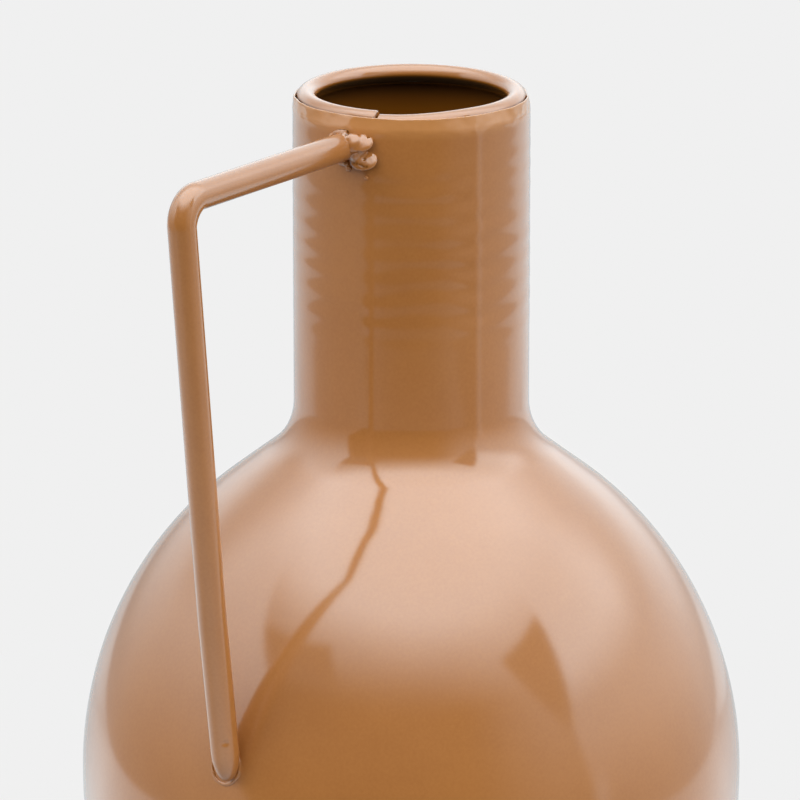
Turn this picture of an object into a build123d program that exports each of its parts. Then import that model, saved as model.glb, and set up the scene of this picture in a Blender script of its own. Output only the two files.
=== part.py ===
from build123d import *
from math import acos, atan2, cos, degrees, hypot, radians, sin, sqrt
import os

# Urn vase in lacquered sheet iron. A spun bowl and a spun dome meet at the belly, a rolled neck stands in the
# dome's collar, a bar hoop stiffens the mouth and one bent bar makes the handle.
# The vase stands on z = 0 with its axis on Z, and the handle points along -X.

# Driving dimensions, in millimetres and degrees

# Sheet and the lap joints between sheet pieces
SHEET = 1.0
LAP_LENGTH = 8.0
STEP_LENGTH = 3.0

# Bowl
BODY_DIAMETER = 198.0
BELLY_HEIGHT = 118.0
BOWL_ARC_RADIUS = 216.0
BASE_EDGE_RADIUS = 10.0

# Dome, from the belly to the collar
DOME_ARC_RADIUS = 113.0
DOME_SLOPE_LENGTH = 15.6
FLARE_RADIUS = 19.5
COLLAR_LENGTH = 12.0

# Neck and wired rim
NECK_DIAMETER = 70.0
NECK_LENGTH = 91.7
CURL_ANGLE = 34.0
RIM_BAR = 6.0
HOOP_JOINT_ANGLE = 15.0
HOOP_JOINT_GAP = 0.4
HOOP_DIP = 1.1
HOOP_DIP_LENGTH = 13.0

# Handle
HANDLE_BAR = 8.0
HANDLE_REACH = 116.5
HANDLE_BEND_RADIUS = 7.0
ARM_DROP = 7.6
ARM_RISE = 1.0
FOOT_HEIGHT = 22.7
FOOT_BITE = 2.4
FOOT_ROUNDING = 2.6

# Welds
BEAD_RADIUS = 1.6
NUGGET_RADIUS = 4.2
NUGGET_SPACING = 3.6
FOOT_BEAD = 1.3

# Places worked out from the dimensions

BELLY_RADIUS = BODY_DIAMETER / 2
NECK_RADIUS = NECK_DIAMETER / 2
HANDLE_RADIUS = HANDLE_BAR / 2

# The side of the bowl is an arc that is upright at the belly, and the base edge is an arc inside it
BOWL_CENTRE = Vector(BELLY_RADIUS - BOWL_ARC_RADIUS, BELLY_HEIGHT)
BASE_RISE = BELLY_HEIGHT - BASE_EDGE_RADIUS
BASE_RUN = sqrt((BOWL_ARC_RADIUS - BASE_EDGE_RADIUS) ** 2 - BASE_RISE ** 2)
BASE_CENTRE = Vector(BOWL_CENTRE.X + BASE_RUN, BASE_EDGE_RADIUS)
BOWL_TURN = degrees(atan2(BASE_RISE, BASE_RUN))

# The shoulder arc and the hollow flare arc are joined by a straight slope that is tangent to both
DOME_CENTRE = Vector(BELLY_RADIUS - DOME_ARC_RADIUS, BELLY_HEIGHT)
ARC_SUM = DOME_ARC_RADIUS + FLARE_RADIUS
CENTRE_DISTANCE = hypot(ARC_SUM, DOME_SLOPE_LENGTH)
FLARE_RUN = NECK_RADIUS + FLARE_RADIUS - DOME_CENTRE.X
FLARE_RISE = sqrt(CENTRE_DISTANCE ** 2 - FLARE_RUN ** 2)
FLARE_CENTRE = DOME_CENTRE + Vector(FLARE_RUN, FLARE_RISE)
DOME_TURN = degrees(atan2(FLARE_RISE, FLARE_RUN) - acos(ARC_SUM / CENTRE_DISTANCE))

SEAM_Z = FLARE_CENTRE.Y + COLLAR_LENGTH
RIM_Z = FLARE_CENTRE.Y + NECK_LENGTH
HOOP_RADIUS = NECK_RADIUS - SHEET - RIM_BAR / 2

# The handle's axis, in the plane y = 0
ARM_Z = RIM_Z - ARM_DROP
FOOT_Z = BELLY_HEIGHT + FOOT_HEIGHT
FOOT_SKIN = DOME_CENTRE.X + sqrt(DOME_ARC_RADIUS ** 2 - FOOT_HEIGHT ** 2)
ARM_ROOT = Vector(SHEET - NECK_RADIUS, 0, ARM_Z)
ELBOW = Vector(-HANDLE_REACH, 0, ARM_Z + ARM_RISE)
FOOT = Vector(FOOT_BITE - HANDLE_RADIUS - FOOT_SKIN, 0, FOOT_Z)


def turned(edges):
    """Solid turned round the vase's axis from a closed outline in radius and height."""
    return revolve(Plane.XZ * make_face(edges), Axis.Z)


def bowl_skin(depth, start_angle=0.0):
    """Bowl from the axis to the belly, at a depth under the outer surface."""
    floor = Line((0, depth), (BASE_CENTRE.X, depth))
    edge = CenterArc(BASE_CENTRE, BASE_EDGE_RADIUS - depth, -90, 90 - BOWL_TURN)
    side = CenterArc(BOWL_CENTRE, BOWL_ARC_RADIUS - depth, -BOWL_TURN, BOWL_TURN - start_angle)
    return [floor, edge, side]


def dome_skin(depth):
    """Dome from the belly to the seam under the neck, at a depth under the outer surface."""
    shoulder = CenterArc(DOME_CENTRE, DOME_ARC_RADIUS - depth, 0, DOME_TURN)
    flare = CenterArc(FLARE_CENTRE, FLARE_RADIUS + depth, 180, DOME_TURN)
    slope = Line(shoulder @ 1, flare @ 1)
    collar = Line(flare @ 0, (NECK_RADIUS - depth, SEAM_Z))
    return [shoulder, slope, flare, collar]


def lower_bowl():
    """Bowl whose lip is stepped in by one sheet and follows the inside of the dome."""
    step_angle = degrees(STEP_LENGTH / BOWL_ARC_RADIUS)
    lap_angle = degrees(LAP_LENGTH / DOME_ARC_RADIUS)
    outer = bowl_skin(0)
    inner = bowl_skin(SHEET, step_angle)
    lip_outer = CenterArc(DOME_CENTRE, DOME_ARC_RADIUS - SHEET, 0, lap_angle)
    lip_inner = CenterArc(DOME_CENTRE, DOME_ARC_RADIUS - 2 * SHEET, 0, lap_angle)
    ledge = Line(outer[-1] @ 1, lip_outer @ 0)
    lip_top = Line(lip_outer @ 1, lip_inner @ 1)
    step = Line(lip_inner @ 0, inner[-1] @ 1)
    axis = Line((0, 0), (0, SHEET))
    return turned([*outer, ledge, lip_outer, lip_top, lip_inner, step, *inner, axis])


def shoulder_dome():
    """Dome of one sheet thickness, open at the belly and at the collar."""
    outer = dome_skin(0)
    inner = dome_skin(SHEET)
    belly_edge = Line(outer[0] @ 0, inner[0] @ 0)
    collar_edge = Line(outer[-1] @ 1, inner[-1] @ 1)
    return turned([*outer, collar_edge, *inner, belly_edge])


def dome_blank(growth=0.0):
    """Solid block with the dome's outside, grown by an amount."""
    skin = dome_skin(-growth)
    top = Line(skin[-1] @ 1, (0, SEAM_Z))
    axis = Line((0, SEAM_Z), (0, BELLY_HEIGHT))
    floor = Line((0, BELLY_HEIGHT), skin[0] @ 0)
    return turned([*skin, top, axis, floor])


def neck_blank():
    """Solid rod with the neck's outside."""
    return Pos(0, 0, SEAM_Z) * Cylinder(NECK_RADIUS, NECK_LENGTH, align=(Align.CENTER, Align.CENTER, Align.MIN))


def neck_tube():
    """Tube with a stepped-in lower end and a top edge curled over the rim hoop."""
    wall_in = NECK_RADIUS - SHEET
    spigot_in = NECK_RADIUS - 2 * SHEET
    hoop_centre = (HOOP_RADIUS, RIM_Z)
    curl_outer = CenterArc(hoop_centre, RIM_BAR / 2 + SHEET, 0, CURL_ANGLE)
    curl_inner = CenterArc(hoop_centre, RIM_BAR / 2, 0, CURL_ANGLE)
    below = Polyline(
        curl_inner @ 0,
        (wall_in, SEAM_Z + STEP_LENGTH),
        (spigot_in, SEAM_Z),
        (spigot_in, SEAM_Z - LAP_LENGTH),
        (wall_in, SEAM_Z - LAP_LENGTH),
        (wall_in, SEAM_Z),
        (NECK_RADIUS, SEAM_Z),
        curl_outer @ 0,
    )
    edge = Line(curl_inner @ 1, curl_outer @ 1)
    return turned([*below.edges(), curl_outer, edge, curl_inner])


def rim_hoop():
    """Bar bent to a ring in the mouth. One end of its open joint dips below the other."""
    gap_angle = degrees(HOOP_JOINT_GAP / HOOP_RADIUS)
    dip_angle = degrees(HOOP_DIP_LENGTH / HOOP_RADIUS)
    joint_angle = 180 + HOOP_JOINT_ANGLE
    dip_end_angle = joint_angle + gap_angle / 2
    ring_start_angle = dip_end_angle + dip_angle
    ring_turn = 360 - dip_angle - gap_angle
    ring = CenterArc((0, 0, RIM_Z), HOOP_RADIUS, ring_start_angle, ring_turn)
    dip_end = Vector(
        HOOP_RADIUS * cos(radians(dip_end_angle)),
        HOOP_RADIUS * sin(radians(dip_end_angle)),
        RIM_Z - HOOP_DIP,
    )
    dip = TangentArc(ring @ 0, dip_end, tangent=-(ring % 0))
    ring_bar = sweep(Plane(ring @ 0, z_dir=ring % 0) * Circle(RIM_BAR / 2), ring)
    dip_bar = sweep(Plane(dip @ 0, z_dir=dip % 0) * Circle(RIM_BAR / 2), dip)
    return ring_bar + dip_bar


def bent_bar():
    """Handle bar before its two ends are coped, with a rounded foot."""
    path = FilletPolyline(ARM_ROOT, ELBOW, FOOT, radius=HANDLE_BEND_RADIUS)
    bar = sweep(Plane(path @ 0, z_dir=path % 0) * Circle(HANDLE_RADIUS), path)
    foot_edge = bar.edges().filter_by(GeomType.CIRCLE).sort_by_distance(FOOT)[0]
    return fillet(foot_edge, FOOT_ROUNDING)


def handle_bar():
    """Bent bar, coped to sit on the neck and on the dome."""
    return bent_bar() - neck_blank() - dome_blank()


def upper_handle_weld():
    """Bead round the root of the arm, with a nugget of three lumps on its front side."""
    root = Vector(-NECK_RADIUS, 0, ARM_Z)
    weld = Plane(root, z_dir=(-1, 0, 0)) * Torus(HANDLE_RADIUS, BEAD_RADIUS)
    nugget_turn = (HANDLE_RADIUS + NUGGET_RADIUS / 2) / NECK_RADIUS
    nugget_x = -NECK_RADIUS * cos(nugget_turn)
    nugget_y = -NECK_RADIUS * sin(nugget_turn)
    for lump in (-1, 0, 1):
        lump_radius = NUGGET_RADIUS if lump == 0 else NUGGET_RADIUS * 0.8
        place = Pos(nugget_x, nugget_y, ARM_Z + lump * NUGGET_SPACING - BEAD_RADIUS)
        weld += place * Sphere(lump_radius)
    return weld - neck_blank() - bent_bar()


def lower_handle_weld():
    """Low bead that hugs the bar's foot and lies on the dome."""
    leg = (ELBOW - FOOT).normalized()
    bead_radius = HANDLE_RADIUS + FOOT_BEAD
    bead = Plane(FOOT - leg * FOOT_BEAD, z_dir=leg) * Cylinder(
        bead_radius, 2 * HANDLE_BAR, align=(Align.CENTER, Align.CENTER, Align.MIN)
    )
    bead_edge = bead.edges().filter_by(GeomType.CIRCLE).sort_by_distance(FOOT)[0]
    bead = fillet(bead_edge, FOOT_ROUNDING + FOOT_BEAD)
    return (bead & dome_blank(FOOT_BEAD)) - dome_blank() - bent_bar()


PARTS = {
    "lower_bowl": lower_bowl,
    "shoulder_dome": shoulder_dome,
    "neck_tube": neck_tube,
    "rim_hoop": rim_hoop,
    "handle_bar": handle_bar,
    "upper_handle_weld": upper_handle_weld,
    "lower_handle_weld": lower_handle_weld,
}

os.makedirs("parts", exist_ok=True)
for name, make in PARTS.items():
    solid = make()
    solid.label = name
    export_step(solid, f"parts/{name}.step")
    print(name, "volume", round(solid.volume, 1), "mm3, solids", len(solid.solids()))
print("height", round(RIM_Z + RIM_BAR / 2, 2), "seam", round(SEAM_Z, 2), "shoulder turn", round(DOME_TURN, 2))
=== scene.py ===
# %% [markdown]
# The vase is welded from spun and rolled sheet iron, with one bent bar as its handle, and all of it is
# lacquered a glossy caramel. Its CAD solids are loaded first and stay where they are. Each Blender piece
# below stands for one of them, in the same metres and the same place, so nothing has to be fitted by eye.

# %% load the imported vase
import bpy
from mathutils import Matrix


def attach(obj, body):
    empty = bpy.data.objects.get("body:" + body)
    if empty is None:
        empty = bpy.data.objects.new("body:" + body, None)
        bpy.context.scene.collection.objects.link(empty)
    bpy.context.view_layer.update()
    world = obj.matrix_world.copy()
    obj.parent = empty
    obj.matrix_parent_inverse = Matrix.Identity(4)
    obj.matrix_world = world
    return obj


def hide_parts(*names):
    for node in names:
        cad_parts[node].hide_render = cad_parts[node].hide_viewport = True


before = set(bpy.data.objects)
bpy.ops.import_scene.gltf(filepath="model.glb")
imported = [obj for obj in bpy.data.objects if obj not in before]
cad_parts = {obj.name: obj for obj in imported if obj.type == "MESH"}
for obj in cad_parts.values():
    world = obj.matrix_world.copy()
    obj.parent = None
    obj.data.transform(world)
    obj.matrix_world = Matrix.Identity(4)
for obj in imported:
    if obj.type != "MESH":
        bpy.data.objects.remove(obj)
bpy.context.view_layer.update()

from math import acos, asin, atan2, ceil, cos, degrees, exp, hypot, pi, radians, sin, sqrt, tan

import bpy
from mathutils import Matrix, Vector, noise

scene = bpy.context.scene
MM = 0.001
print("nodes:", ", ".join(sorted(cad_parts)))

# %% [markdown]
# The camera comes first, because it decides which details show. The photograph looks a little down on the
# mouth from far away, which a long lens copies. Its turn round the vase, its height and its tilt were
# measured on the round rim and on the straight neck.

# %% camera
RIM_Z = 324.19 * MM
CAMERA_TURN = radians(-56.7)
CAMERA_DISTANCE = 2.0
CAMERA_RISE = radians(13.24)
CAMERA_TILT = radians(15.72)
CAMERA_PAN = radians(0.097)
LENS = 314.3

to_camera = Vector((sin(CAMERA_TURN), -cos(CAMERA_TURN), 0))
to_right = Vector((cos(CAMERA_TURN), sin(CAMERA_TURN), 0))
camera_height = RIM_Z + CAMERA_DISTANCE * tan(CAMERA_RISE)
line_of_sight = Vector((0, 0, -sin(CAMERA_TILT))) - to_camera * cos(CAMERA_TILT)
line_of_sight.rotate(Matrix.Rotation(CAMERA_PAN, 3, "Z"))
lens_data = bpy.data.cameras.new("photo_camera")
lens_data.sensor_width = 36
lens_data.lens = LENS
camera = bpy.data.objects.new("photo_camera", lens_data)
camera.location = to_camera * CAMERA_DISTANCE + Vector((0, 0, camera_height))
camera.rotation_euler = line_of_sight.to_track_quat("-Z", "Y").to_euler()
scene.collection.objects.link(camera)
scene.camera = camera
print("camera", round(camera_height, 3), "m above the table")

# %% [markdown]
# Gloss shows its surroundings, so the light is a picture of a small product studio in the world: a white
# table and background, a bright ceiling, a wall on each side, and a dim opening with two dark flags where
# the camera stands. Lamps would show as spots, which the gloss of the real vase doesn't have. Small helpers
# come first, which add a node and fill its inputs, and every node tree in this file uses them.

# %% helper for all node trees
def put(tree, kind, feeds=None, **options):
    """Adds a node, sets its options, and fills its inputs with values or with links from other nodes."""
    node = tree.nodes.new(kind)
    for option, value in options.items():
        setattr(node, option, value)
    for socket, value in (feeds or {}).items():
        if isinstance(value, bpy.types.NodeSocket):
            tree.links.new(value, node.inputs[socket])
        else:
            node.inputs[socket].default_value = value
    return node


def calc(tree, operation, first, second=0.0, third=0.0):
    """One step of arithmetic between sockets or numbers."""
    return put(tree, "ShaderNodeMath", {0: first, 1: second, 2: third}, operation=operation).outputs[0]


def ease(tree, value, low, high, at_low=0.0, at_high=1.0):
    """Smooth change from one level to another while a value goes from low to high."""
    feeds = {"Value": value, 1: low, 2: high, 3: at_low, 4: at_high}
    return put(tree, "ShaderNodeMapRange", feeds, interpolation_type="SMOOTHSTEP").outputs[0]


def along(tree, place, direction):
    """How far a place lies along a direction."""
    dot = put(tree, "ShaderNodeVectorMath", {0: place, 1: direction}, operation="DOT_PRODUCT")
    return dot.outputs["Value"]


# %% room and directions in it
PAPER_WHITE = 0.871

scene.view_settings.view_transform = "Standard"
room = bpy.data.worlds.new("studio_room")
room.use_nodes = True
scene.world = room
tree = room.node_tree
tree.nodes.clear()
gaze = put(tree, "ShaderNodeTexCoord").outputs["Generated"]
rightward = along(tree, gaze, to_right)
forward = along(tree, gaze, to_camera)
swing = calc(tree, "DEGREES", calc(tree, "ARCTAN2", rightward, forward))
rise = calc(tree, "ARCSINE", put(tree, "ShaderNodeSeparateXYZ", {0: gaze}).outputs["Z"])
rise = calc(tree, "DEGREES", rise)
print("directions take", len(tree.nodes), "nodes")

# %% [markdown]
# Two angles name a direction from here on, in degrees: the swing to the right of the camera's side, and
# the rise above level. Forward and rightward are the same as shares from -1 to 1. Each pair of numbers
# below says where a change of light begins and where it is complete. The walls brighten upwards into the
# ceiling, the right one lower down, where it has a window, and both are dimmer behind the vase.

# %% walls and ceiling
CEILING_GLOW = 7.1
CEILING_RISE = (45.0, 63.0)
LEFT_WALL_LOW = 0.65
LEFT_WALL_HIGH = 5.0
LEFT_WALL_RISE = (-12.0, 60.0)
RIGHT_WALL_LOW = 0.98
RIGHT_WALL_HIGH = 2.6
RIGHT_WALL_RISE = (-14.0, 20.0)
RIGHT_WINDOW_GLOW = 5.9
RIGHT_WINDOW_RISE = (17.0, 33.0)
RIGHT_TO_LEFT = (0.6, -0.6)
BACK_SHADE = 0.5
BACK_FORWARD = (-0.6, -1.0)
BACK_RISE = (7.0, -3.0)
HIGH_BACK_SHADE = 0.55
HIGH_BACK_FORWARD = (-0.25, -0.65)
HIGH_BACK_RISE = (12.0, 30.0)

left_wall = ease(tree, rise, *LEFT_WALL_RISE, LEFT_WALL_LOW, LEFT_WALL_HIGH)
left_top = ease(tree, rise, *CEILING_RISE, 0.0, CEILING_GLOW - LEFT_WALL_HIGH)
left_wall = calc(tree, "ADD", left_wall, left_top)
right_wall = ease(tree, rise, *RIGHT_WALL_RISE, RIGHT_WALL_LOW, RIGHT_WALL_HIGH)
window = ease(tree, rise, *RIGHT_WINDOW_RISE, 0.0, RIGHT_WINDOW_GLOW - RIGHT_WALL_HIGH)
right_wall = calc(tree, "ADD", right_wall, window)
right_top = ease(tree, rise, *CEILING_RISE, 0.0, CEILING_GLOW - RIGHT_WINDOW_GLOW)
right_wall = calc(tree, "ADD", right_wall, right_top)
glow = calc(tree, "SUBTRACT", left_wall, right_wall)
glow = calc(tree, "MULTIPLY_ADD", glow, ease(tree, rightward, *RIGHT_TO_LEFT), right_wall)
behind = calc(tree, "MULTIPLY", ease(tree, forward, *BACK_FORWARD), ease(tree, rise, *BACK_RISE))
glow = calc(tree, "MULTIPLY", glow, calc(tree, "MULTIPLY_ADD", behind, -BACK_SHADE, 1.0))
high_back = ease(tree, rise, *HIGH_BACK_RISE)
behind = calc(tree, "MULTIPLY", ease(tree, forward, *HIGH_BACK_FORWARD), high_back)
glow = calc(tree, "MULTIPLY", glow, calc(tree, "MULTIPLY_ADD", behind, -HIGH_BACK_SHADE, 1.0))
print("the ceiling glows at", CEILING_GLOW, "from", CEILING_RISE[1], "degrees up")

# %% light in the two back corners, just above the level of the table
CORNER_GLOW = 0.65
CORNER_DEPTH = 14.0
CORNER_SLOPE = -4.2
CORNER_SWING = (112.0, 120.0)
CORNER_FORWARD = (-0.99, -0.86)
CORNER_MIDDLE_SHARE = 0.45

corner = calc(tree, "MULTIPLY", calc(tree, "ADD", rise, CORNER_DEPTH), CORNER_SLOPE)
corner = ease(tree, calc(tree, "ADD", calc(tree, "ABSOLUTE", swing), corner), *CORNER_SWING)
corner = calc(tree, "MULTIPLY", corner, ease(tree, forward, *CORNER_FORWARD, CORNER_MIDDLE_SHARE, 1.0))
glow = calc(tree, "MULTIPLY_ADD", corner, CORNER_GLOW, glow)
print("the back corners add", CORNER_GLOW)

# %% dim opening that the camera looks in through, less dim towards its right and its top
FRONT_GLOW = 0.02
FRONT_RIGHT_GLOW = 0.026
FRONT_DEPTH = 30.0
FRONT_SWING = (18.0, 56.0)
DIP_SLOPE = -1.1
LOBE_RISE = 30.0
LOBE_SLOPE = 1.48
WAIST_RISE = 14.5
WAIST_SLOPE = -0.26
LEFT_EDGE = (-64.0, -60.0)
RIGHT_EDGE = (63.4, 59.4)
TOP_EDGE = (59.0, 26.0)

dip = calc(tree, "MAXIMUM", calc(tree, "MULTIPLY", rise, DIP_SLOPE), 0.0)
lobe = calc(tree, "MAXIMUM", calc(tree, "SUBTRACT", rise, LOBE_RISE), 0.0)
lobe = calc(tree, "MULTIPLY", lobe, LOBE_SLOPE)
from_left = calc(tree, "ADD", calc(tree, "SUBTRACT", swing, dip), lobe)
waist = calc(tree, "ABSOLUTE", calc(tree, "SUBTRACT", rise, WAIST_RISE))
from_right = calc(tree, "MULTIPLY_ADD", waist, WAIST_SLOPE, swing)
opening = calc(tree, "MULTIPLY", ease(tree, from_left, *LEFT_EDGE), ease(tree, from_right, *RIGHT_EDGE))
opening = calc(tree, "MULTIPLY", opening, ease(tree, rise, *TOP_EDGE))
front = calc(tree, "MAXIMUM", calc(tree, "ADD", rise, FRONT_DEPTH), 0.0)
front = calc(tree, "MULTIPLY", front, FRONT_RIGHT_GLOW)
front = calc(tree, "MULTIPLY_ADD", front, ease(tree, swing, *FRONT_SWING), FRONT_GLOW)
glow = calc(tree, "MULTIPLY_ADD", calc(tree, "SUBTRACT", front, glow), opening, glow)
print("the opening is", RIGHT_EDGE[0] - LEFT_EDGE[0], "degrees wide at its waist")

# %% two dark flags that cut into the bright top of the opening
FLAG_GLOW = 0.5
RIGHT_FLAG_SLANT = 0.68
RIGHT_FLAG_START = (67.0, 71.0)
RIGHT_FLAG_EDGE = (63.0, 60.0)
RIGHT_FLAG_TOP_SLANT = -0.2
RIGHT_FLAG_TOP = (33.0, 31.0)
RIGHT_FLAG_RISE = (8.0, 25.0)
LEFT_FLAG_START = (8.0, 2.0)
LEFT_FLAG_TOP_SLANT = -0.15
LEFT_FLAG_TOP = (53.0, 50.0)

slant = calc(tree, "MULTIPLY_ADD", rise, RIGHT_FLAG_SLANT, swing)
flag_edge = ease(tree, from_right, *RIGHT_FLAG_EDGE)
right_flag = calc(tree, "MULTIPLY", ease(tree, slant, *RIGHT_FLAG_START), flag_edge)
flag_top = calc(tree, "MULTIPLY_ADD", swing, RIGHT_FLAG_TOP_SLANT, rise)
right_flag = calc(tree, "MULTIPLY", right_flag, ease(tree, flag_top, *RIGHT_FLAG_TOP))
right_flag = calc(tree, "MULTIPLY", right_flag, ease(tree, rise, *RIGHT_FLAG_RISE))
slant = calc(tree, "ADD", rise, swing)
left_flag = calc(tree, "MULTIPLY", ease(tree, slant, *LEFT_FLAG_START), ease(tree, from_left, *LEFT_EDGE))
flag_top = calc(tree, "MULTIPLY_ADD", swing, LEFT_FLAG_TOP_SLANT, rise)
left_flag = calc(tree, "MULTIPLY", left_flag, ease(tree, flag_top, *LEFT_FLAG_TOP))
flag = calc(tree, "MAXIMUM", left_flag, right_flag)
dark = calc(tree, "SUBTRACT", calc(tree, "MINIMUM", glow, FLAG_GLOW), glow)
glow = calc(tree, "MULTIPLY_ADD", dark, flag, glow)
print("the flags dim the room to", FLAG_GLOW)

# %% lit edge of the right wall, low down
EDGE_GLOW = 0.7
EDGE_BEGINS = (64.0, 69.0)
EDGE_ENDS = (74.0, 70.0)
EDGE_RISE = (4.0, -4.0)

edge = calc(tree, "MULTIPLY", ease(tree, swing, *EDGE_BEGINS), ease(tree, swing, *EDGE_ENDS))
edge = calc(tree, "MULTIPLY", edge, ease(tree, rise, *EDGE_RISE))
glow = calc(tree, "MULTIPLY_ADD", edge, EDGE_GLOW, glow)
print("the edge adds", EDGE_GLOW)

# %% [markdown]
# A path of light knows what sort of ray it is. The gloss sees the room as it is and a little cool. The
# colour under it is lit by a plain ring of light above the vase, so that it renders about as it is
# written. The lens sees white paper all round.

# %% light for the gloss, the colour and the lens
GLOSS_TINT = (0.84, 0.98, 1.05)
PLAIN_LEVEL = 0.02
PLAIN_RING = 3.64
PLAIN_FRONT = 0.36
PLAIN_LEAN = 0.09
PLAIN_TOP = (68.0, 36.0)
PLAIN_BACK_TOP = (34.0, 8.0)
PLAIN_BOTTOM = (0.0, 22.0)
FRONT_TO_BACK = (0.1, -0.5)
TOWARDS_FRONT = (0.2, 1.0)


def cool_in_gloss(tree, path):
    """Colour of the light: white, but a little cooler for the gloss."""
    glossy = path.outputs["Is Glossy Ray"]
    feeds = {}
    for part, share in enumerate(GLOSS_TINT):
        feeds[part] = calc(tree, "MULTIPLY_ADD", glossy, share - 1.0, 1.0)
    return put(tree, "ShaderNodeCombineColor", feeds).outputs[0]


path = put(tree, "ShaderNodeLightPath")
ring = ease(tree, rise, *PLAIN_TOP)
low_ring = calc(tree, "SUBTRACT", ease(tree, rise, *PLAIN_BACK_TOP), ring)
ring = calc(tree, "MULTIPLY_ADD", low_ring, ease(tree, forward, *FRONT_TO_BACK), ring)
ring = calc(tree, "MULTIPLY", ring, ease(tree, rise, *PLAIN_BOTTOM))
ring = calc(tree, "MULTIPLY", ring, ease(tree, forward, *TOWARDS_FRONT, 1.0, PLAIN_FRONT))
ring = calc(tree, "MULTIPLY", ring, calc(tree, "MULTIPLY_ADD", rightward, PLAIN_LEAN, 1.0))
plain = calc(tree, "MULTIPLY_ADD", ring, PLAIN_RING, PLAIN_LEVEL)
glow = calc(tree, "SUBTRACT", glow, plain)
glow = calc(tree, "MULTIPLY_ADD", glow, path.outputs["Is Glossy Ray"], plain)
to_white = calc(tree, "SUBTRACT", PAPER_WHITE, glow)
glow = calc(tree, "MULTIPLY_ADD", to_white, path.outputs["Is Camera Ray"], glow)
light = put(tree, "ShaderNodeBackground", {"Color": cool_in_gloss(tree, path), "Strength": glow})
put(tree, "ShaderNodeOutputWorld", {"Surface": light.outputs[0]})
print("room has", len(tree.nodes), "nodes")

# %% [markdown]
# The vase stands on white paper that runs into the white background. A plain white floor would do for the
# lens, but the gloss mirrors the table too, and a floor lit from all round would mirror as one flat tone.
# So the paper's material also asks what sort of ray has come: the lens sees white with a soft shadow, the
# gloss sees a graded glow, and the colour gets a weak bounce.

# %% white table
TABLE_FRONT = 0.95
TABLE_BACK = 0.6
TABLE_HALF_WIDTH = 0.65
TABLE_DROP = 0.2 * MM
PAPER_FIBRES = 900.0
PAPER_TONES = (0.80, 0.83)
FIBRE_CHANGE = (0.2, 0.8)
BOUNCE_SHARE = 0.35

corners = []
for ahead, aside in ((TABLE_FRONT, -1), (TABLE_FRONT, 1), (-TABLE_BACK, 1), (-TABLE_BACK, -1)):
    corners.append(to_camera * ahead + to_right * aside * TABLE_HALF_WIDTH + Vector((0, 0, -TABLE_DROP)))
table_mesh = bpy.data.meshes.new("white_table")
table_mesh.from_pydata(corners, [], [(0, 1, 2, 3)])
table = bpy.data.objects.new("white_table", table_mesh)
scene.collection.objects.link(table)
paper = bpy.data.materials.new("table_paper")
paper.use_nodes = True
tree = paper.node_tree
tree.nodes.clear()
place = put(tree, "ShaderNodeTexCoord").outputs["Object"]
path = put(tree, "ShaderNodeLightPath")
fibre = put(tree, "ShaderNodeTexNoise", {"Vector": place, "Scale": PAPER_FIBRES, "Detail": 3.0}).outputs[0]
bounce = calc(tree, "MULTIPLY_ADD", path.outputs["Is Diffuse Ray"], BOUNCE_SHARE - 1.0, 1.0)
shade = calc(tree, "MULTIPLY", ease(tree, fibre, *FIBRE_CHANGE, *PAPER_TONES), bounce)
tone = put(tree, "ShaderNodeCombineColor", {0: shade, 1: shade, 2: shade}).outputs[0]
matt = put(tree, "ShaderNodeBsdfDiffuse", {"Color": tone})
print("table front edge", TABLE_FRONT, "m from the vase")

# %% table in the gloss, brightest at its sides, dim towards its front edge and dimmer behind the vase
TABLE_GLOW_FAR = 0.4
TABLE_GLOW_NEAR = 1.8
TABLE_GLOW_SLANT = 1.15
TABLE_GLOW_SIDES = 0.52
TABLE_SHADE_BACK = 0.98
TABLE_LEAN = -0.02
TABLE_GLOW_NEAR_SHARE = 1.1
TABLE_GLOW_FAR_SHARE = 0.72
FRONT_REACH = (0.3, 0.75)
FAR_REACH = (0.6, 0.95)
FRONT_TO_SLANT = (1.0, 0.6)
SLANT_TO_SIDES = (0.6, 0.0)
SIDES_TO_BACK = (-0.5, -0.95)

reach = put(tree, "ShaderNodeVectorMath", {0: place}, operation="LENGTH").outputs["Value"]
bearing = put(tree, "ShaderNodeVectorMath", {0: place}, operation="NORMALIZE").outputs[0]
ahead = along(tree, bearing, to_camera)
front = ease(tree, reach, *FRONT_REACH, TABLE_GLOW_NEAR, TABLE_GLOW_FAR)
table_glow = ease(tree, ahead, *FRONT_TO_SLANT, front, TABLE_GLOW_SLANT)
table_glow = calc(tree, "ADD", table_glow, ease(tree, ahead, *SLANT_TO_SIDES, 0.0, TABLE_GLOW_SIDES))
table_glow = calc(tree, "SUBTRACT", table_glow, ease(tree, ahead, *SIDES_TO_BACK, 0.0, TABLE_SHADE_BACK))
lean = calc(tree, "MULTIPLY_ADD", along(tree, bearing, to_right), TABLE_LEAN, 1.0)
table_glow = calc(tree, "MULTIPLY", table_glow, lean)
distant = ease(tree, reach, *FAR_REACH, TABLE_GLOW_NEAR_SHARE, TABLE_GLOW_FAR_SHARE)
table_glow = calc(tree, "MULTIPLY", table_glow, distant)
print("table glows at", TABLE_GLOW_NEAR, "near the vase")

# %% table before the lens, with a soft shadow round the vase
SHADOW_SHARE = 0.3
SHADOW_REACH = (0.15, 0.5)

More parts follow.
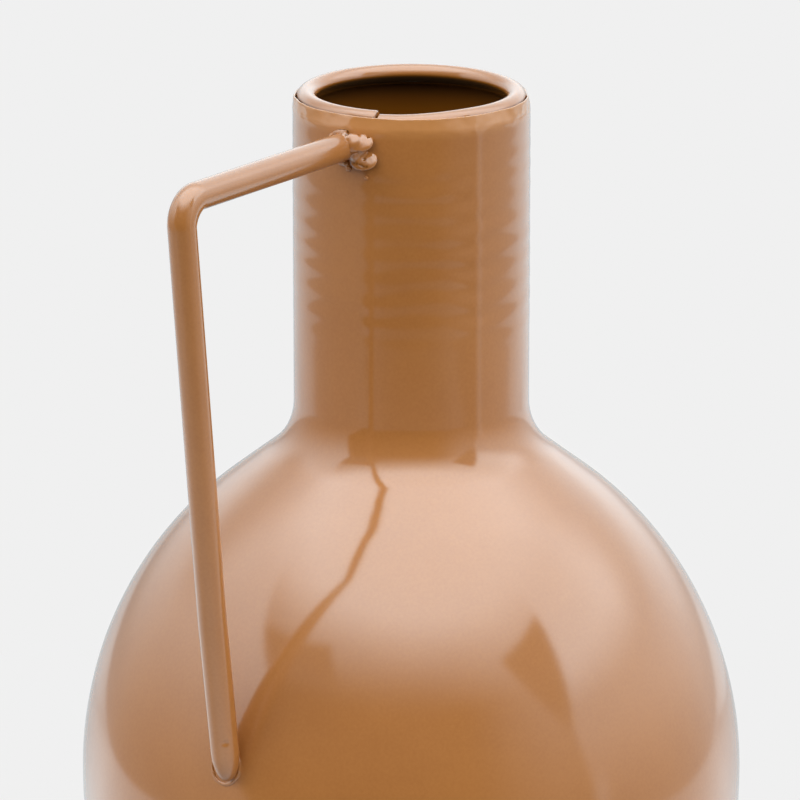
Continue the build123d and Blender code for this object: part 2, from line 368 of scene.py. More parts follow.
gloss_view = calc(tree, "MAXIMUM", path.outputs["Is Glossy Ray"], path.outputs["Is Transmission Ray"])
table_glow = calc(tree, "SUBTRACT", table_glow, PAPER_WHITE)
table_glow = calc(tree, "MULTIPLY_ADD", table_glow, gloss_view, PAPER_WHITE)
lit = put(tree, "ShaderNodeEmission", {"Color": cool_in_gloss(tree, path), "Strength": table_glow})
shown = calc(tree, "MAXIMUM", path.outputs["Is Camera Ray"], gloss_view)
shadow = ease(tree, reach, *SHADOW_REACH, SHADOW_SHARE, 0.0)
share = calc(tree, "MULTIPLY", shown, calc(tree, "SUBTRACT", 1.0, shadow))
top = put(tree, "ShaderNodeMixShader", {0: share, 1: matt.outputs[0], 2: lit.outputs[0]})
put(tree, "ShaderNodeOutputMaterial", {"Surface": top.outputs[0]})
table_mesh.materials.append(paper)
print("paper has", len(tree.nodes), "nodes")

# %% [markdown]
# The finish is one sprayed lacquer: an opaque caramel colour under a clear gloss. On the real vase it
# drifts a little in tone and carries a fine orange peel and dust specks. Principled BSDF gives that as a
# coloured base with a coat. The drift, the roughness and the bump come from noise in Object coordinates.
# An attribute called shade, which a mesh can carry on its points, says where the tone changes: below zero
# it is lighter, as painted light on the lip that leans up, and above zero it is brown and then black, as
# painted shade inside the sheets, under the hoop, behind the lip and along the top of the upper weld, and
# as darker pits in the weld.

# %% caramel lacquer
CARAMEL = (0.430, 0.176, 0.048)
CARAMEL_DEEP = (0.385, 0.152, 0.040)
# the lighter caramel is painted light on the lip that leans up; the brown and the black are painted shade
# inside the sheets, under the hoop and in creases, and also the darker pits of the weld
CARAMEL_PAINTED_LIGHT = (0.510, 0.225, 0.069)
BROWN_PAINTED_SHADE_AND_PIT = (0.190, 0.064, 0.005)
BLACK_PAINTED_SHADE_AND_PIT = (0.020, 0.010, 0.004)
BROWN_AT = 0.6
DRIFTS_PER_METRE = 26.0
SPECKS_PER_METRE = 1100.0
LUMPS_PER_METRE = 90.0
SPECK_SHARE = 0.45
DRIFT_SHARE = 0.75
DEEP_TO_CLEAR = (0.35, 0.85)
ROUGHNESS_CHANGE = (0.3, 0.7)
ROUGHNESS = (0.42, 0.34)
BASE_GLOSS = 0.05


def caramel_lacquer(name, haze, peel_size, peel_depth, lump_depth):
    """Gloss caramel lacquer: hazy coat, drift in tone, orange peel, broader lumps, and tone by shade."""
    material = bpy.data.materials.new(name)
    material.use_nodes = True
    tree = material.node_tree
    tree.nodes.clear()
    place = put(tree, "ShaderNodeTexCoord").outputs["Object"]
    feeds = {"Vector": place, "Scale": DRIFTS_PER_METRE, "Detail": 5.0, "Roughness": 0.6}
    drift = put(tree, "ShaderNodeTexNoise", feeds).outputs[0]
    feeds = {"Vector": place, "Scale": SPECKS_PER_METRE, "Detail": 2.0}
    speck = put(tree, "ShaderNodeTexNoise", feeds).outputs[0]
    blend = calc(tree, "MULTIPLY_ADD", speck, SPECK_SHARE, calc(tree, "MULTIPLY", drift, DRIFT_SHARE))
    colour = put(tree, "ShaderNodeMix", {0: ease(tree, blend, *DEEP_TO_CLEAR)}, data_type="RGBA")
    colour.inputs["A"].default_value = (*CARAMEL_DEEP, 1)
    colour.inputs["B"].default_value = (*CARAMEL, 1)
    shade = put(tree, "ShaderNodeAttribute", attribute_name="shade").outputs["Fac"]
    # the shade attribute mixes in painted light below zero, and painted shade or darker pits above it
    tones = ((CARAMEL_PAINTED_LIGHT, 0.0, -1.0), (BROWN_PAINTED_SHADE_AND_PIT, 0.0, BROWN_AT), (BLACK_PAINTED_SHADE_AND_PIT, BROWN_AT, 1.0))
    for tone, begin, full in tones:
        share = put(tree, "ShaderNodeMapRange", {"Value": shade, 1: begin, 2: full}).outputs[0]
        shaded = put(tree, "ShaderNodeMix", {0: share}, data_type="RGBA")
        tree.links.new(colour.outputs["Result"], shaded.inputs["A"])
        shaded.inputs["B"].default_value = (*tone, 1)
        colour = shaded
    peel = put(tree, "ShaderNodeTexNoise", {"Vector": place, "Scale": 1 / peel_size, "Detail": 2.0})
    lumps = put(tree, "ShaderNodeTexNoise", {"Vector": place, "Scale": LUMPS_PER_METRE, "Detail": 2.0})
    feeds = {"Height": lumps.outputs[0], "Strength": 1.0, "Distance": lump_depth}
    coarse = put(tree, "ShaderNodeBump", feeds).outputs[0]
    feeds = {"Height": peel.outputs[0], "Strength": 1.0, "Distance": peel_depth, "Normal": coarse}
    skin = put(tree, "ShaderNodeBump", feeds).outputs[0]
    gloss = put(tree, "ShaderNodeBsdfPrincipled")
    gloss.inputs["Specular IOR Level"].default_value = BASE_GLOSS
    gloss.inputs["Coat Weight"].default_value = 1.0
    gloss.inputs["Coat Roughness"].default_value = haze
    tree.links.new(colour.outputs["Result"], gloss.inputs["Base Color"])
    tree.links.new(ease(tree, drift, *ROUGHNESS_CHANGE, *ROUGHNESS), gloss.inputs["Roughness"])
    tree.links.new(skin, gloss.inputs["Normal"])
    tree.links.new(skin, gloss.inputs["Coat Normal"])
    put(tree, "ShaderNodeOutputMaterial", {"Surface": gloss.outputs[0]})
    return material


LUMP_DEPTH = 0.02 * MM
sheet_finish = caramel_lacquer("sheet_lacquer", 0.11, 1.6 * MM, 0.002 * MM, LUMP_DEPTH)
bar_finish = caramel_lacquer("bar_lacquer", 0.14, 1.2 * MM, 0.003 * MM, LUMP_DEPTH)
weld_finish = caramel_lacquer("weld_lacquer", 0.16, 0.8 * MM, 0.006 * MM, LUMP_DEPTH)
print("finishes:", sheet_finish.name, bar_finish.name, weld_finish.name)

# %% [markdown]
# Neck, dome and bowl are round sheet pieces, which a metal spinner or a rolling mill makes from a half
# section. The section could be spun in mesh code, but a node tree keeps the rule in one place: it takes
# the section as a wire, turns it round the axis, and then adds the small unevenness that hand work
# leaves, without which the gloss would look like plastic. First come the helpers that start a tree and
# bake it to a plain mesh.

# %% start and bake a tree
def new_tree(name, sizes):
    """Geometry node tree with named inputs for its sizes, and a Finish input for the material."""
    tree = bpy.data.node_groups.new(name, "GeometryNodeTree")
    tree.interface.new_socket("Geometry", in_out="INPUT", socket_type="NodeSocketGeometry")
    for label, value in sizes.items():
        kind = "NodeSocketInt" if isinstance(value, int) else "NodeSocketFloat"
        tree.interface.new_socket(label, in_out="INPUT", socket_type=kind).default_value = value
    tree.interface.new_socket("Finish", in_out="INPUT", socket_type="NodeSocketMaterial")
    tree.interface.new_socket("Geometry", in_out="OUTPUT", socket_type="NodeSocketGeometry")
    return tree, put(tree, "NodeGroupInput").outputs


def end_tree(tree, shape, finish, sharp_angle):
    """Marks the sharp edges, sets the material and closes the tree."""
    bend = put(tree, "GeometryNodeInputMeshEdgeAngle").outputs["Unsigned Angle"]
    sharp = calc(tree, "GREATER_THAN", bend, radians(sharp_angle))
    smooth = put(tree, "GeometryNodeSetShadeSmooth", {"Geometry": shape, "Shade Smooth": True}, domain="FACE")
    feeds = {"Geometry": smooth.outputs[0], "Selection": sharp, "Shade Smooth": False}
    creased = put(tree, "GeometryNodeSetShadeSmooth", feeds, domain="EDGE")
    real = put(tree, "GeometryNodeRealizeInstances", {"Geometry": creased.outputs[0]})
    painted = put(tree, "GeometryNodeSetMaterial", {"Geometry": real.outputs[0], "Material": finish})
    put(tree, "NodeGroupOutput", {"Geometry": painted.outputs[0]})


def grow(name, start, tree, sizes, finish):
    """Runs a tree on a starting mesh and keeps the result as a plain mesh object."""
    helper = bpy.data.objects.new(name + "_start", start)
    scene.collection.objects.link(helper)
    modifier = helper.modifiers.new("grow", "NODES")
    modifier.node_group = tree
    values = dict(sizes, Finish=finish)
    for item in tree.interface.items_tree:
        if item.in_out == "INPUT" and item.name in values:
            modifier[item.identifier] = values[item.name]
    graph = bpy.context.evaluated_depsgraph_get()
    mesh = bpy.data.meshes.new_from_object(
        helper.evaluated_get(graph), preserve_all_data_layers=True, depsgraph=graph
    )
    bpy.data.objects.remove(helper)
    mesh.name = name
    piece = bpy.data.objects.new(name, mesh)
    scene.collection.objects.link(piece)
    triangles = sum(len(face.vertices) - 2 for face in mesh.polygons)
    print(name, "has", triangles, "triangles")
    return piece


# %% tree that turns a sheet section
SAME_PLACE = 0.001 * MM
FLAT = (1, 1, 0)
TURNED_SIZES = {
    "Columns": 256,
    "Guide Radius": 50 * MM,
    "Mark Depth": 0.0,
    "Mark Pitch": 6.7 * MM,
    "Swell Height": 0.0,
    "Swell Size": 40 * MM,
    "Ripple Height": 0.0,
    "Ripple Size": 14 * MM,
    "Ripple From": 0.0,
    "Ripple Full": 1.0,
    "Lean": 0.0,
    "Uneven From": 0.0,
    "Uneven To": 1.0,
    "Fade": 10 * MM,
    "Lip From": 1.0,
    "Lip To": 2.0,
    "Lip Opening": 0.0,
    "Peen Height": 0.0,
    "Peen Size": 4 * MM,
    "Seed": 3.0,
}
turned_tree, given = new_tree("turned_sheet", TURNED_SIZES)
tree = turned_tree
wire = put(tree, "GeometryNodeMeshToCurve", {"Mesh": given["Geometry"]}).outputs[0]
spot = put(tree, "ShaderNodeSeparateXYZ", {0: put(tree, "GeometryNodeInputPosition").outputs[0]}).outputs
offset = calc(tree, "SUBTRACT", spot["X"], given["Guide Radius"])
drop = calc(tree, "MULTIPLY", spot["Z"], -1.0)
flat = put(tree, "ShaderNodeCombineXYZ", {"X": offset, "Y": drop, "Z": 0.0}).outputs[0]
section = put(tree, "GeometryNodeSetPosition", {"Geometry": wire, "Position": flat}).outputs[0]
feeds = {"Resolution": given["Columns"], "Radius": given["Guide Radius"]}
guide = put(tree, "GeometryNodeCurvePrimitiveCircle", feeds, mode="RADIUS").outputs[0]
guide = put(tree, "GeometryNodeSetCurveNormal", {"Curve": guide}, mode="Z_UP").outputs[0]
shell = put(tree, "GeometryNodeCurveToMesh", {"Curve": guide, "Profile Curve": section}).outputs[0]
shell = put(tree, "GeometryNodeMergeByDistance", {"Geometry": shell, "Distance": SAME_PLACE}).outputs[0]
point = put(tree, "GeometryNodeInputPosition").outputs[0]
spot = put(tree, "ShaderNodeSeparateXYZ", {0: point}).outputs
outward = put(tree, "ShaderNodeVectorMath", {0: point, 1: FLAT}, operation="MULTIPLY").outputs[0]
outward = put(tree, "ShaderNodeVectorMath", {0: outward}, operation="NORMALIZE").outputs[0]
print("turning takes", len(tree.nodes), "nodes")

# %% marks of the tool, as shallow scallops whose pitch and depth wander
WANDER_SIZE = 45 * MM
WANDER = 2.2
PATCH_SIZE = 22 * MM
PATCH_CHANGE = (0.3, 0.7)
PATCH_STRENGTH = (0.35, 1.35)


def turned_noise(size, part):
    """Seeded noise from 0 to 1 over the turned shell, with humps of about the given size."""
    seed = calc(tree, "ADD", given["Seed"], part)
    feeds = {"Vector": point, "W": seed, "Scale": calc(tree, "DIVIDE", 1.0, size), "Detail": 1.0}
    return put(tree, "ShaderNodeTexNoise", feeds, noise_dimensions="4D").outputs[0]


wander = calc(tree, "MULTIPLY", turned_noise(WANDER_SIZE, part=1.0), WANDER)
phase = calc(tree, "ADD", calc(tree, "DIVIDE", spot["Z"], given["Mark Pitch"]), wander)
scallop = calc(tree, "SINE", calc(tree, "MULTIPLY", phase, 2 * pi))
scallop = calc(tree, "MULTIPLY_ADD", scallop, 0.5, 0.5)
strength = ease(tree, turned_noise(PATCH_SIZE, part=2.0), *PATCH_CHANGE, *PATCH_STRENGTH)
mark = calc(tree, "MULTIPLY", calc(tree, "MULTIPLY", scallop, strength), given["Mark Depth"])
print("marks every", round(TURNED_SIZES["Mark Pitch"] / MM, 1), "mm")

# %% broad swells, smaller ripples above a height, all fading out towards the joints
swell = calc(tree, "SUBTRACT", turned_noise(given["Swell Size"], part=0.0), 0.5)
uneven = calc(tree, "MULTIPLY_ADD", swell, given["Swell Height"], mark)
ripple = calc(tree, "SUBTRACT", turned_noise(given["Ripple Size"], part=5.0), 0.5)
ripple_height = ease(tree, spot["Z"], given["Ripple From"], given["Ripple Full"], 0.0, given["Ripple Height"])
uneven = calc(tree, "MULTIPLY_ADD", ripple, ripple_height, uneven)
begin = calc(tree, "ADD", given["Uneven From"], given["Fade"])
finish_fade = calc(tree, "SUBTRACT", given["Uneven To"], given["Fade"])
uneven = calc(tree, "MULTIPLY", uneven, ease(tree, spot["Z"], given["Uneven From"], begin))
uneven = calc(tree, "MULTIPLY", uneven, ease(tree, spot["Z"], finish_fade, given["Uneven To"], 1.0, 0.0))
lift = put(tree, "ShaderNodeCombineXYZ", {"Z": given["Lean"]}).outputs[0]
skyward = put(tree, "ShaderNodeVectorMath", {0: outward, 1: lift}, operation="ADD").outputs[0]
skyward = put(tree, "ShaderNodeVectorMath", {0: skyward}, operation="NORMALIZE").outputs[0]
push = put(tree, "ShaderNodeVectorMath", {0: skyward, "Scale": uneven}, operation="SCALE").outputs[0]
print("unevenness brings it to", len(tree.nodes), "nodes")

# %% two stretches of the lip that stand open, by their bearings round the axis, and marks of the peening
LEFT_OPENS = (116.0, 130.0)
LEFT_CLOSES = (172.0, 150.0)
RIGHT_OPENS = (-98.0, -88.0)
RIGHT_CLOSES = (-56.0, -66.0)
RIGHT_SHARE = 0.7
PEEN_FADE = 2 * MM
SHEET_SHARP = 35

bearing = calc(tree, "DEGREES", calc(tree, "ARCTAN2", spot["Y"], spot["X"]))
open_left = calc(tree, "MULTIPLY", ease(tree, bearing, *LEFT_OPENS), ease(tree, bearing, *LEFT_CLOSES))
open_right = calc(tree, "MULTIPLY", ease(tree, bearing, *RIGHT_OPENS), ease(tree, bearing, *RIGHT_CLOSES))
lip_open = calc(tree, "MULTIPLY_ADD", open_right, RIGHT_SHARE, open_left)
lip_open = calc(tree, "MULTIPLY", lip_open, given["Lip Opening"])
feeds = {"Value": spot["Z"], 1: given["Lip From"], 2: given["Lip To"], 4: lip_open}
lip_out = put(tree, "ShaderNodeMapRange", feeds).outputs[0]
peen = calc(tree, "SUBTRACT", turned_noise(given["Peen Size"], part=7.0), 0.5)
on_lip = ease(tree, spot["Z"], calc(tree, "SUBTRACT", given["Lip From"], PEEN_FADE), given["Lip From"])
peen = calc(tree, "MULTIPLY", peen, calc(tree, "MULTIPLY", on_lip, given["Peen Height"]))
lip_out = calc(tree, "ADD", lip_out, peen)
lip_push = put(tree, "ShaderNodeVectorMath", {0: outward, "Scale": lip_out}, operation="SCALE").outputs[0]
push = put(tree, "ShaderNodeVectorMath", {0: push, 1: lip_push}, operation="ADD").outputs[0]
shell = put(tree, "GeometryNodeSetPosition", {"Geometry": shell, "Offset": push}).outputs[0]
end_tree(tree, shell, given["Finish"], SHEET_SHARP)
print("turning tree has", len(tree.nodes), "nodes")

# %% [markdown]
# A section is drawn as on a spinner's drawing: straight runs and arcs, with the outside first and the
# inside back again, one sheet apart. Points lie about a millimetre apart, so the gloss finds no facets.
# Each arc also gets a point a hair from its ends, which holds the shading level where two pieces meet
# edge to edge. The section carries the shade of its points too, and the tree passes it on.

# %% runs, arcs and sections
SHEET = 1.0 * MM
HAIR = 0.05 * MM
# inside the sheets the colour is painted shade for their dim insides, and from this height it darkens to a
# painted shadow under the hoop
HOOP_SHADOW_FROM = RIM_Z - 12 * MM
HOOP_SHADOW_RUN = 9 * MM
# from this height up the lip, the outside is painted lighter, as painted light that the leaning lip catches
LIP_LIGHT_FROM = RIM_Z - 5 * MM
LIP_LIGHT_RUN = 3.5 * MM


def run(start, end, step=1.2 * MM):
    """Points along a straight run in radius and height."""
    count = max(1, ceil(hypot(end[0] - start[0], end[1] - start[1]) / step))
    points = []
    for index in range(count + 1):
        share = index / count
        points.append((start[0] + (end[0] - start[0]) * share, start[1] + (end[1] - start[1]) * share))
    return points


def arc(centre, radius, start, end, step=1.2 * MM):
    """Points along an arc, with one more a hair from each end."""
    count = max(3, ceil(abs(end - start) * radius / step))
    hair_turn = HAIR / radius / abs(end - start)
    shares = [0.0, hair_turn]
    shares += [index / count for index in range(1, count)]
    shares += [1 - hair_turn, 1.0]
    points = []
    for share in shares:
        turn = start + (end - start) * share
        points.append((centre[0] + radius * cos(turn), centre[1] + radius * sin(turn)))
    return points


def part_of_run(value, start, length):
    """How far a value is along a run, from 0 before it to 1 past it."""
    return min(1.0, max(0.0, (value - start) / length))


def section_wire(name, outside, inside, closed):
    """Wire mesh of a half section, outside first. Outside, the lip is painted lighter as painted light;
    inside, the sheet is painted shade, black as a painted shadow under the hoop.
    """
    points = []
    shades = []
    for runs, hidden in ((outside, False), (inside, True)):
        for stretch in runs:
            for spot in stretch:
                if points and hypot(spot[0] - points[-1][0], spot[1] - points[-1][1]) <= SAME_PLACE:
                    continue
                points.append(spot)
                # inside points carry painted shade, with a painted shadow under the hoop; outside points
                # carry painted light up the lip
                hoop_shadow = part_of_run(spot[1], HOOP_SHADOW_FROM, HOOP_SHADOW_RUN)
                lip_light = part_of_run(spot[1], LIP_LIGHT_FROM, LIP_LIGHT_RUN)
                shades.append(BROWN_AT + (1 - BROWN_AT) * hoop_shadow if hidden else -lip_light)
    if closed and hypot(points[0][0] - points[-1][0], points[0][1] - points[-1][1]) < SAME_PLACE:
        points.pop()
        shades.pop()
    edges = [(index, index + 1) for index in range(len(points) - 1)]
    if closed:
        edges.append((len(points) - 1, 0))
    mesh = bpy.data.meshes.new(name)
    mesh.from_pydata([(radius, 0, height) for radius, height in points], edges, [])
    mesh.attributes.new("shade", "FLOAT", "POINT").data.foreach_set("value", shades)
    print(name, "has", len(points), "points")
    return mesh


# %% [markdown]
# The driving dimensions are those of the CAD, so each piece lands on the solid that it stands for. The
# centres of the arcs and the height of the neck's seam follow from them, by the same sums as on a drawing
# board.

# %% places on the vase
BELLY_RADIUS = 99 * MM
BELLY_Z = 118 * MM
BOWL_ARC = 216 * MM
BASE_EDGE = 10 * MM
DOME_ARC = 113 * MM
SLOPE = 15.6 * MM
FLARE = 19.5 * MM
NECK_RADIUS = 35 * MM
COLLAR = 12 * MM
LAP = 8 * MM
STEP = 3 * MM

bowl_centre = (BELLY_RADIUS - BOWL_ARC, BELLY_Z)
base_rise = BELLY_Z - BASE_EDGE
base_centre = (bowl_centre[0] + sqrt((BOWL_ARC - BASE_EDGE) ** 2 - base_rise ** 2), BASE_EDGE)
bowl_turn = atan2(base_rise, base_centre[0] - bowl_centre[0])
dome_centre = (BELLY_RADIUS - DOME_ARC, BELLY_Z)
flare_run = NECK_RADIUS + FLARE - dome_centre[0]
centre_gap = hypot(DOME_ARC + FLARE, SLOPE)
flare_rise = sqrt(centre_gap ** 2 - flare_run ** 2)
flare_centre = (NECK_RADIUS + FLARE, BELLY_Z + flare_rise)
dome_turn = atan2(flare_rise, flare_run) - acos((DOME_ARC + FLARE) / centre_gap)
seam_z = flare_centre[1] + COLLAR
print("seam at", round(seam_z / MM, 2), "mm, shoulder turns", round(degrees(dome_turn), 2), "degrees")

# %% [markdown]
# The dome is the upper half of the body, spun over a former, with a flare and a short collar that the
# neck is welded to. One smooth shell would do, but on the real one the reflections waver, so the tree
# gives it broad swells, and small ripples near the flare.

# %% shoulder dome
def dome_skin(depth):
    """Dome from belly to seam, at a depth under its outside."""
    shoulder = arc(dome_centre, DOME_ARC - depth, 0, dome_turn)
    flare = arc(flare_centre, FLARE + depth, pi + dome_turn, pi)
    collar = run(flare[-1], (NECK_RADIUS - depth, seam_z))
    return [shoulder, run(shoulder[-1], flare[0]), flare, collar]


outside = dome_skin(0)
inside = [stretch[::-1] for stretch in dome_skin(SHEET)[::-1]]
wire = section_wire("dome_section", outside, inside, True)
sizes = {
    "Swell Height": 0.5 * MM,
    "Swell Size": 45 * MM,
    "Ripple Height": 0.15 * MM,
    "Ripple From": 185 * MM,
    "Ripple Full": 205 * MM,
    "Lean": 1.0,
    "Uneven From": BELLY_Z,
    "Uneven To": seam_z,
    "Fade": 25 * MM,
}
dome = grow("shoulder_dome_sheet", wire, turned_tree, sizes, sheet_finish)

# %% [markdown]
# The bowl is the lower half, most of which the photograph leaves out. Its top edge is stepped in by one
# sheet and slips up inside the dome. Its floor closes on the axis, so its section is an open line, not a
# loop.

# %% lower bowl
def bowl_skin(depth, short=0.0):
    """Bowl from the middle of its floor to the belly, at a depth under its outside."""
    floor = run((0, depth), (base_centre[0], depth), step=6 * MM)
    edge = arc(base_centre, BASE_EDGE - depth, -pi / 2, -bowl_turn)
    side = arc(bowl_centre, BOWL_ARC - depth, -bowl_turn, -short, step=1.5 * MM)
    return [floor, edge, side]


step_turn = LAP / DOME_ARC
step_outside = arc(dome_centre, DOME_ARC - SHEET, 0, step_turn)
step_inside = arc(dome_centre, DOME_ARC - 2 * SHEET, step_turn, 0)
outside = bowl_skin(0)
inside = [stretch[::-1] for stretch in bowl_skin(SHEET, STEP / BOWL_ARC)[::-1]]
wire = section_wire("bowl_section", outside, [step_outside, step_inside, *inside], False)
sizes = {"Swell Height": 0.3 * MM, "Swell Size": 45 * MM, "Uneven From": 15 * MM, "Uneven To": BELLY_Z}
bowl = grow("lower_bowl_sheet", wire, turned_tree, sizes, sheet_finish)

# %% [markdown]
# The neck is a rolled tube. Its lower end is stepped in and slips into the collar, and its top edge is
# hammered in over the hoop, with a soft bend below it. The hammering is left uneven, and in two places
# the lip stands open. Such a lip could be sculpted, but as a rule in the tree it stays easy to change.

# %% neck tube with its leaning lip
LIP_BEND = 6.0 * MM
LIP_LEAN = radians(15)
LIP_LENGTH = 2.95 * MM
LIP_THICKNESS = 0.6 * MM
CREASE_Z = RIM_Z - 2.4 * MM
WALL_POINTS = 0.5 * MM
BEND_POINTS = 0.15 * MM
EDGE_POINTS = 0.12 * MM

wall_in = NECK_RADIUS - SHEET
spigot_in = NECK_RADIUS - 2 * SHEET
bend_z = CREASE_Z - LIP_BEND * tan(LIP_LEAN / 2)
bend_centre = (NECK_RADIUS - LIP_BEND, bend_z)
bend_outside = arc(bend_centre, LIP_BEND, 0, LIP_LEAN, BEND_POINTS)
bend_inside = arc(bend_centre, LIP_BEND - SHEET, LIP_LEAN, 0, BEND_POINTS)
bend_end = bend_outside[-1]
lip_end = (bend_end[0] - LIP_LENGTH * sin(LIP_LEAN), bend_end[1] + LIP_LENGTH * cos(LIP_LEAN))
edge_radius = LIP_THICKNESS / 2
edge_centre = (lip_end[0] - edge_radius * cos(LIP_LEAN), lip_end[1] - edge_radius * sin(LIP_LEAN))
edge_round = arc(edge_centre, edge_radius, LIP_LEAN, LIP_LEAN + pi, EDGE_POINTS)
outside = [
    run((NECK_RADIUS, seam_z), (NECK_RADIUS, bend_z), WALL_POINTS),
    bend_outside,
    run(bend_end, lip_end, WALL_POINTS),
    edge_round,
]
inside = [
    run(edge_round[-1], bend_inside[0], WALL_POINTS),
    bend_inside,
    run((wall_in, bend_z), (wall_in, seam_z + STEP), step=1.5 * MM),
    run((spigot_in, seam_z), (spigot_in, seam_z - LAP)),
    run((wall_in, seam_z - LAP), (wall_in, seam_z)),
]
wire = section_wire("neck_section", outside, inside, True)
sizes = {
    "Mark Depth": 0.085 * MM,
    "Swell Height": 0.12 * MM,
    "Uneven From": seam_z + 8 * MM,
    "Uneven To": CREASE_Z,
    "Fade": 12 * MM,
    "Lip From": CREASE_Z,
    "Lip To": lip_end[1],
    "Lip Opening": 0.85 * MM,
    "Peen Height": 0.8 * MM,
}
neck = grow("neck_tube_sheet", wire, turned_tree, sizes, sheet_finish)

# %% [markdown]
# The hoop and the handle are round bar, and a bar is a circle that follows a path. A curve with a bevel
# would do, but a tree also lets the bar thin out at its ends, so that a sawn end gets its small round and
# the foot its large one. The same few nodes serve both bars, so they come first, as a helper.

# %% bar along a path
BAR_SHARP = 50


def bar_along(tree, path, bar_radius, sides, ends):
    """Round bar along a curve. Its two ends are given as how far back they are rounded, and how deep."""
    walked = put(tree, "GeometryNodeSplineParameter").outputs["Length"]
    whole = put(tree, "GeometryNodeSplineLength").outputs["Length"]
    left_over = calc(tree, "SUBTRACT", whole, walked)
    scale = 1.0
    for reach, (length, depth) in zip((walked, left_over), ends):
        short = calc(tree, "SUBTRACT", 1.0, calc(tree, "DIVIDE", reach, length))
        short = calc(tree, "MINIMUM", calc(tree, "MAXIMUM", short, 0.0), 1.0)
        full = calc(tree, "SQRT", calc(tree, "SUBTRACT", 1.0, calc(tree, "MULTIPLY", short, short)))
        deepest = calc(tree, "DIVIDE", depth, bar_radius)
        cut = calc(tree, "MULTIPLY", calc(tree, "SUBTRACT", 1.0, full), deepest)
        scale = calc(tree, "SUBTRACT", scale, cut)
    feeds = {"Resolution": sides, "Radius": bar_radius}
    ring = put(tree, "GeometryNodeCurvePrimitiveCircle", feeds, mode="RADIUS").outputs[0]
    feeds = {"Curve": path, "Profile Curve": ring, "Scale": scale, "Fill Caps": True}
    return put(tree, "GeometryNodeCurveToMesh", feeds).outputs[0]


# %% [markdown]
# The hoop is a bar bent to a ring in the mouth, so the neck's edge has something to fold over. Its two
# sawn ends meet near the handle but don't line up: one slumps below the other. The ring is an arc with a
# gap, and one smooth dip lowers its first stretch.

# %% rim hoop
HOOP_SIZES = {
    "Hoop Radius": 31 * MM,
    "Bar Radius": 3 * MM,
    "Height": RIM_Z,
    "Joint Angle": radians(195),
    "Joint Gap": 0.4 * MM,
    "Dip": 1.0 * MM,
    "Dip Length": 30 * MM,
    "End Round": 0.45 * MM,
    "End Shade": 0.45,
    "Rings": 780,
    "Sides": 40,
}
hoop_tree, given = new_tree("rim_hoop", HOOP_SIZES)
tree = hoop_tree
gap_turn = calc(tree, "DIVIDE", given["Joint Gap"], given["Hoop Radius"])
start_turn = calc(tree, "MULTIPLY_ADD", gap_turn, 0.5, given["Joint Angle"])
feeds = {"Resolution": given["Rings"], "Radius": given["Hoop Radius"], "Start Angle": start_turn}
feeds["Sweep Angle"] = calc(tree, "SUBTRACT", 2 * pi, gap_turn)
ring = put(tree, "GeometryNodeCurveArc", feeds, mode="RADIUS").outputs[0]
walked = put(tree, "GeometryNodeSplineParameter").outputs["Length"]
sunk = calc(tree, "MULTIPLY", ease(tree, walked, given["Dip Length"], 0.0), given["Dip"])
lift = put(tree, "ShaderNodeCombineXYZ", {"Z": calc(tree, "SUBTRACT", given["Height"], sunk)}).outputs[0]
ring = put(tree, "GeometryNodeSetPosition", {"Geometry": ring, "Offset": lift}).outputs[0]
ring = put(tree, "GeometryNodeSetCurveNormal", {"Curve": ring}, mode="Z_UP").outputs[0]
sawn_end = (given["End Round"], given["End Round"])
bar = bar_along(tree, ring, given["Bar Radius"], given["Sides"], (sawn_end, sawn_end))
print("hoop bends to", round(HOOP_SIZES["Hoop Radius"] / MM, 1), "mm")

# %% painted shade where the hoop turns down into the mouth and in the gap behind the lip, and brown on its sawn ends
INNER_PAINTED_SHADE = (0.4, -0.1)
OUTER_PAINTED_SHADE = (0.55, 0.35)
INNER_TO_OUTER = (-0.1, 0.1)
END_TO_SIDE = (0.3, 0.7)

normal = put(tree, "GeometryNodeInputNormal").outputs[0]
upward = put(tree, "ShaderNodeSeparateXYZ", {0: normal}).outputs["Z"]
point = put(tree, "GeometryNodeInputPosition").outputs[0]
outward = put(tree, "ShaderNodeVectorMath", {0: point, 1: FLAT}, operation="MULTIPLY").outputs[0]
outward = put(tree, "ShaderNodeVectorMath", {0: outward}, operation="NORMALIZE").outputs[0]
aside = along(tree, normal, outward)
# painted shade where the hoop faces down into the dim mouth, and where it faces out into the gap below the
# lip's edge
inner_shade = ease(tree, upward, *INNER_PAINTED_SHADE)
outer_shade = ease(tree, upward, *OUTER_PAINTED_SHADE)
dark = calc(tree, "SUBTRACT", outer_shade, inner_shade)
dark = calc(tree, "MULTIPLY_ADD", dark, ease(tree, aside, *INNER_TO_OUTER), inner_shade)
round_side = calc(tree, "MULTIPLY_ADD", upward, upward, calc(tree, "MULTIPLY", aside, aside))
dark = calc(tree, "MULTIPLY", dark, ease(tree, round_side, *END_TO_SIDE, given["End Shade"], 1.0))
feeds = {"Geometry": bar, "Name": "shade", "Value": dark}
bar = put(tree, "GeometryNodeStoreNamedAttribute", feeds, data_type="FLOAT", domain="POINT").outputs[0]
end_tree(tree, bar, given["Finish"], BAR_SHARP)
hoop = grow("rim_hoop_bar", bpy.data.meshes.new("hoop_start"), hoop_tree, {}, bar_finish)

# %% [markdown]
# The handle is one bar, bent once near a right angle. Its upper end butts against the neck, and its foot
# lies on the dome at a slant. The real ends are filed to fit. Here every point that would fall inside the
# sheet is moved out to the middle of the sheet's thickness, which does the same and keeps the bar closed.

